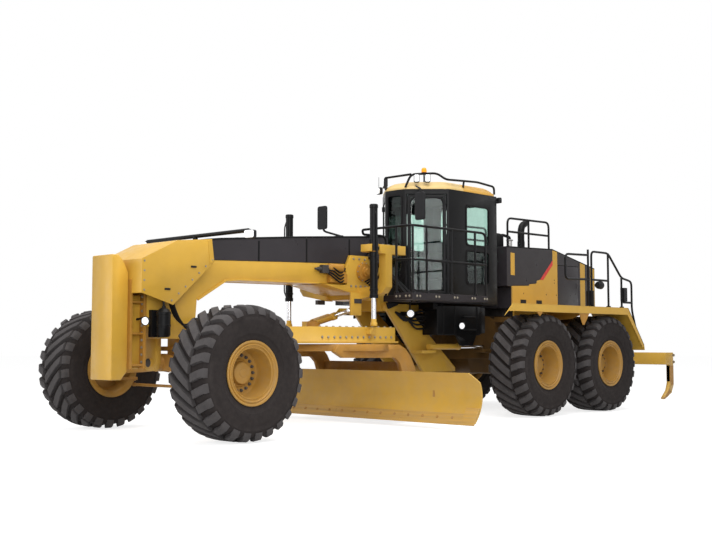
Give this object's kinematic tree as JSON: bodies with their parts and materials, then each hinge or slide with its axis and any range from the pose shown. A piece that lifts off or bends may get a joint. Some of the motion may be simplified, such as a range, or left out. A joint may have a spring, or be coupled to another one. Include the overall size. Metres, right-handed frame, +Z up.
{
  "type": "motor grader",
  "caption": "Large articulated motor grader with tandem drive wheels, arched front frame, full-width curved blade on a circle, angular cab, railed walkways, rear ripper and front push block.",
  "frame": {"origin": "on the ground below the middle of the machine's length and width, wheels resting on the ground", "axes": "+X to the machine's left, +Y to its rear, so it drives towards -Y, +Z up"},
  "size_m": [6.24, 13.8, 4.66],
  "materials": {
    "yellow_paint": "semi-gloss golden yellow paint, dusty",
    "pale_yellow_paint": "sun-faded pale yellow paint",
    "dark_paint": "satin black paint",
    "rim_paint": "satin golden yellow paint, dusty",
    "tyre_rubber": "matt, dusty",
    "tinted_glass": "pale green tint",
    "seat_fabric": "matt woven",
    "cast_iron": "painted casting",
    "chrome": "polished"
  },
  "bodies": {
    "front_frame": {"main_frame": "yellow_paint", "counterweight": "yellow_paint", "nose_cover": "yellow_paint", "frame_cover": "dark_paint", "lift_saddle": "yellow_paint", "belly_tank": "dark_paint", "cab_platform": "dark_paint", "cab_shell": "dark_paint", "cab_roof": "pale_yellow_paint", "cab_glass": "tinted_glass", "operator_seat": "seat_fabric"},
    "cab_door_left": {"cab_door_left": "dark_paint"},
    "cab_door_right": {"cab_door_right": "dark_paint"},
    "front_axle": {"axle_beam": "yellow_paint"},
    "lean_housing_left": {"lean_housing_left": "yellow_paint"},
    "lean_housing_right": {"lean_housing_right": "yellow_paint"},
    "lean_bar": {"lean_bar": "yellow_paint"},
    "knuckle_left": {"knuckle_left": "yellow_paint"},
    "knuckle_right": {"knuckle_right": "yellow_paint"},
    "tie_rod_end": {"tie_rod_end": "yellow_paint"},
    "tie_rod": {"tie_rod": "yellow_paint"},
    "wheel_front_left": {"tyre_front_left": "tyre_rubber", "rim_front_left": "rim_paint"},
    "wheel_front_right": {"tyre_front_right": "tyre_rubber", "rim_front_right": "rim_paint"},
    "rear_frame": {"rear_frame": "yellow_paint", "engine_block": "cast_iron", "engine_hood": "dark_paint", "fender_left": "yellow_paint", "fender_right": "yellow_paint"},
    "hood_door_left": {"hood_door_left": "dark_paint"},
    "hood_door_right": {"hood_door_right": "dark_paint"},
    "tandem_left": {"tandem_case_left": "yellow_paint"},
    "tandem_right": {"tandem_case_right": "yellow_paint"},
    "wheel_middle_left": {"tyre_middle_left": "tyre_rubber", "rim_middle_left": "rim_paint"},
    "wheel_middle_right": {"tyre_middle_right": "tyre_rubber", "rim_middle_right": "rim_paint"},
    "wheel_rear_left": {"tyre_rear_left": "tyre_rubber", "rim_rear_left": "rim_paint"},
    "wheel_rear_right": {"tyre_rear_right": "tyre_rubber", "rim_rear_right": "rim_paint"},
    "drawbar_ball": {"drawbar_ball": "yellow_paint"},
    "drawbar": {"drawbar": "yellow_paint"},
    "circle": {"circle": "yellow_paint"},
    "blade_bracket": {"blade_bracket": "yellow_paint"},
    "moldboard": {"moldboard": "yellow_paint"},
    "lift_barrel_left": {"lift_barrel_left": "dark_paint"},
    "lift_rod_left": {"lift_rod_left": "chrome"},
    "lift_barrel_right": {"lift_barrel_right": "dark_paint"},
    "lift_rod_right": {"lift_rod_right": "chrome"},
    "shift_barrel": {"shift_barrel": "yellow_paint"},
    "shift_rod": {"shift_rod": "chrome"},
    "articulation_barrel_left": {"articulation_barrel_left": "yellow_paint"},
    "articulation_rod_left": {"articulation_rod_left": "chrome"},
    "articulation_barrel_right": {"articulation_barrel_right": "yellow_paint"},
    "articulation_rod_right": {"articulation_rod_right": "chrome"},
    "ripper": {"ripper_beam": "yellow_paint"},
    "ripper_barrel": {"ripper_barrel": "yellow_paint"},
    "ripper_rod": {"ripper_rod": "chrome"}
  },
  "joints": [
    {"name": "cab_door_left_swing", "type": "hinge", "parent": "front_frame", "child": "cab_door_left", "pos_m": [0.81738, -0.0543, 3.1], "axis": [0, 0, 1], "range_deg": [0, 80]},
    {"name": "cab_door_right_swing", "type": "hinge", "parent": "front_frame", "child": "cab_door_right", "pos_m": [-0.81738, -0.0543, 3.1], "axis": [0, 0, -1], "range_deg": [0, 80]},
    {"name": "hood_door_left_swing", "type": "hinge", "parent": "rear_frame", "child": "hood_door_left", "pos_m": [0.866, 3.539, 2.6], "axis": [0, 0, -1], "range_deg": [0, 100]},
    {"name": "hood_door_right_swing", "type": "hinge", "parent": "rear_frame", "child": "hood_door_right", "pos_m": [-0.866, 3.539, 2.6], "axis": [0, 0, 1], "range_deg": [0, 100]},
    {"name": "axle_oscillation", "type": "hinge", "parent": "front_frame", "child": "front_axle", "pos_m": [0, -5.795, 1.08], "axis": [0, 1, 0], "range_deg": [-16, 16]},
    {"name": "wheel_lean", "type": "hinge", "parent": "front_axle", "child": "lean_housing_left", "pos_m": [1.13, -5.795, 1], "axis": [0, -1, 0], "range_deg": [-18, 18]},
    {"name": "wheel_lean_right", "type": "hinge", "parent": "front_axle", "child": "lean_housing_right", "pos_m": [-1.13, -5.795, 1], "axis": [0, -1, 0], "range_deg": [-18, 18]},
    {"name": "lean_bar_pivot", "type": "hinge", "parent": "lean_housing_left", "child": "lean_bar", "pos_m": [1.13, -5.795, 1.29], "axis": [0, -1, 0], "range_deg": [-18, 18]},
    {"name": "steering", "type": "hinge", "parent": "lean_housing_left", "child": "knuckle_left", "pos_m": [1.29, -5.795, 0.96003], "axis": [0, 0, 1], "range_deg": [-47, 47]},
    {"name": "steering_right", "type": "hinge", "parent": "lean_housing_right", "child": "knuckle_right", "pos_m": [-1.29, -5.795, 0.96003], "axis": [0, 0, 1], "range_deg": [-47, 47]},
    {"name": "tie_rod_yaw", "type": "hinge", "parent": "knuckle_left", "child": "tie_rod_end", "pos_m": [1.23, -5.5, 0.70503], "axis": [0, 0, 1], "range_deg": [-47, 47]},
    {"name": "tie_rod_roll", "type": "hinge", "parent": "tie_rod_end", "child": "tie_rod", "pos_m": [1.23, -5.5, 0.70503], "axis": [0, -1, 0], "range_deg": [-18, 18]},
    {"name": "front_wheel_left", "type": "hinge", "parent": "knuckle_left", "child": "wheel_front_left", "pos_m": [1.751, -5.795, 0.96003], "axis": [1, 0, 0], "continuous": true},
    {"name": "front_wheel_right", "type": "hinge", "parent": "knuckle_right", "child": "wheel_front_right", "pos_m": [-1.751, -5.795, 0.96003], "axis": [1, 0, 0], "continuous": true},
    {"name": "articulation", "type": "hinge", "parent": "front_frame", "child": "rear_frame", "pos_m": [0, 0.705, 1.4], "axis": [0, 0, 1], "range_deg": [-20, 20]},
    {"name": "articulation_barrel_left_swing", "type": "hinge", "parent": "front_frame", "child": "articulation_barrel_left", "pos_m": [0.62, -0.325, 1.3], "axis": [0, 0, 1], "range_deg": [-9, 9]},
    {"name": "articulation_barrel_right_swing", "type": "hinge", "parent": "front_frame", "child": "articulation_barrel_right", "pos_m": [-0.62, -0.325, 1.3], "axis": [0, 0, 1], "range_deg": [-9, 9]},
    {"name": "articulation_rod_left_slide", "type": "slide", "parent": "articulation_barrel_left", "child": "articulation_rod_left", "axis": [-0.0357, 0.9994, 0], "range_m": [-0.23, 0.23]},
    {"name": "articulation_rod_right_slide", "type": "slide", "parent": "articulation_barrel_right", "child": "articulation_rod_right", "axis": [0.0357, 0.9994, 0], "range_m": [-0.23, 0.23]},
    {"name": "tandem_left_rock", "type": "hinge", "parent": "rear_frame", "child": "tandem_left", "pos_m": [1.17, 2.441, 0.96003], "axis": [1, 0, 0], "range_deg": [-7, 7]},
    {"name": "tandem_right_rock", "type": "hinge", "parent": "rear_frame", "child": "tandem_right", "pos_m": [-1.17, 2.441, 0.96003], "axis": [1, 0, 0], "range_deg": [-7, 7]},
    {"name": "middle_wheel_left", "type": "hinge", "parent": "tandem_left", "child": "wheel_middle_left", "pos_m": [1.751, 1.35, 0.96003], "axis": [1, 0, 0], "continuous": true},
    {"name": "rear_wheel_left", "type": "hinge", "parent": "tandem_left", "child": "wheel_rear_left", "pos_m": [1.751, 3.532, 0.96003], "axis": [1, 0, 0], "continuous": true},
    {"name": "middle_wheel_right", "type": "hinge", "parent": "tandem_right", "child": "wheel_middle_right", "pos_m": [-1.751, 1.35, 0.96003], "axis": [1, 0, 0], "continuous": true},
    {"name": "rear_wheel_right", "type": "hinge", "parent": "tandem_right", "child": "wheel_rear_right", "pos_m": [-1.751, 3.532, 0.96003], "axis": [1, 0, 0], "continuous": true},
    {"name": "drawbar_shift", "type": "hinge", "parent": "front_frame", "child": "drawbar_ball", "pos_m": [0, -5.345, 1.5], "axis": [0, 0, 1], "range_deg": [-5, 5]},
    {"name": "drawbar_lift", "type": "hinge", "parent": "drawbar_ball", "child": "drawbar", "pos_m": [0, -5.345, 1.5], "axis": [1, 0, 0], "range_deg": [-8, 5]},
    {"name": "circle_turn", "type": "hinge", "parent": "drawbar", "child": "circle", "pos_m": [0, -2.495, 1.3], "axis": [0, 0, 1], "range_deg": [-45, 45]},
    {"name": "blade_tip", "type": "hinge", "parent": "circle", "child": "blade_bracket", "pos_m": [0, -1.835, 0.33], "axis": [1, 0, 0], "range_deg": [-5, 35]},
    {"name": "blade_sideshift", "type": "slide", "parent": "blade_bracket", "child": "moldboard", "axis": [1, 0, 0], "range_m": [-0.7, 0.7]},
    {"name": "lift_barrel_left_swing", "type": "hinge", "parent": "front_frame", "child": "lift_barrel_left", "pos_m": [1.07, -2.295, 2.98], "axis": [0.331, 0.9436, 0], "range_deg": [-13, 13]},
    {"name": "lift_barrel_right_swing", "type": "hinge", "parent": "front_frame", "child": "lift_barrel_right", "pos_m": [-1.07, -2.295, 2.98], "axis": [-0.331, 0.9436, 0], "range_deg": [-13, 13]},
    {"name": "lift_rod_left_slide", "type": "slide", "parent": "lift_barrel_left", "child": "lift_rod_left", "axis": [0, 0, 1], "range_m": [-0.43, 0.375]},
    {"name": "lift_rod_right_slide", "type": "slide", "parent": "lift_barrel_right", "child": "lift_rod_right", "axis": [0, 0, 1], "range_m": [-0.43, 0.375]},
    {"name": "shift_barrel_swing", "type": "hinge", "parent": "drawbar", "child": "shift_barrel", "pos_m": [-0.7, -2.145, 1.7], "axis": [0, 1, 0], "range_deg": [-22, 19]},
    {"name": "shift_rod_slide", "type": "slide", "parent": "shift_barrel", "child": "shift_rod", "axis": [0.9764, 0, 0.2159], "range_m": [-0.28, 0.28]},
    {"name": "ripper_lift", "type": "hinge", "parent": "rear_frame", "child": "ripper", "pos_m": [0, 5.265, 1.15], "axis": [1, 0, 0], "range_deg": [-15, 12]},
    {"name": "ripper_barrel_swing", "type": "hinge", "parent": "rear_frame", "child": "ripper_barrel", "pos_m": [0, 5.235, 1.74], "axis": [1, 0, 0], "range_deg": [-10.5, 8.5]},
    {"name": "ripper_rod_slide", "type": "slide", "parent": "ripper_barrel", "child": "ripper_rod", "axis": [0, 0.8542, -0.5199], "range_m": [-0.105, 0.13]}
  ],
  "couplings": [
    {"joint": "wheel_lean_right", "follows": "wheel_lean", "ratio": 1},
    {"joint": "lean_bar_pivot", "follows": "wheel_lean", "ratio": -1},
    {"joint": "steering_right", "follows": "steering", "ratio": 1},
    {"joint": "tie_rod_yaw", "follows": "steering", "ratio": -1},
    {"joint": "tie_rod_roll", "follows": "wheel_lean", "ratio": -0.92},
    {"joint": "articulation_barrel_left_swing", "follows": "articulation", "ratio": 0.37},
    {"joint": "articulation_barrel_right_swing", "follows": "articulation", "ratio": 0.37},
    {"joint": "articulation_rod_left_slide", "follows": "articulation", "m_per_rad": 0.58},
    {"joint": "articulation_rod_right_slide", "follows": "articulation", "m_per_rad": -0.58},
    {"joint": "lift_barrel_left_swing", "follows": "drawbar_shift", "ratio": 2.35},
    {"joint": "lift_barrel_right_swing", "follows": "drawbar_shift", "ratio": 2.35},
    {"joint": "lift_rod_left_slide", "follows": "drawbar_lift", "m_per_rad": 3.05},
    {"joint": "lift_rod_right_slide", "follows": "drawbar_lift", "m_per_rad": 3.05},
    {"joint": "shift_barrel_swing", "follows": "drawbar_lift", "ratio": 2.7},
    {"joint": "shift_rod_slide", "follows": "drawbar_shift", "m_per_rad": 3.13},
    {"joint": "ripper_barrel_swing", "follows": "ripper_lift", "ratio": 0.69},
    {"joint": "ripper_rod_slide", "follows": "ripper_lift", "m_per_rad": -0.48}
  ]
}
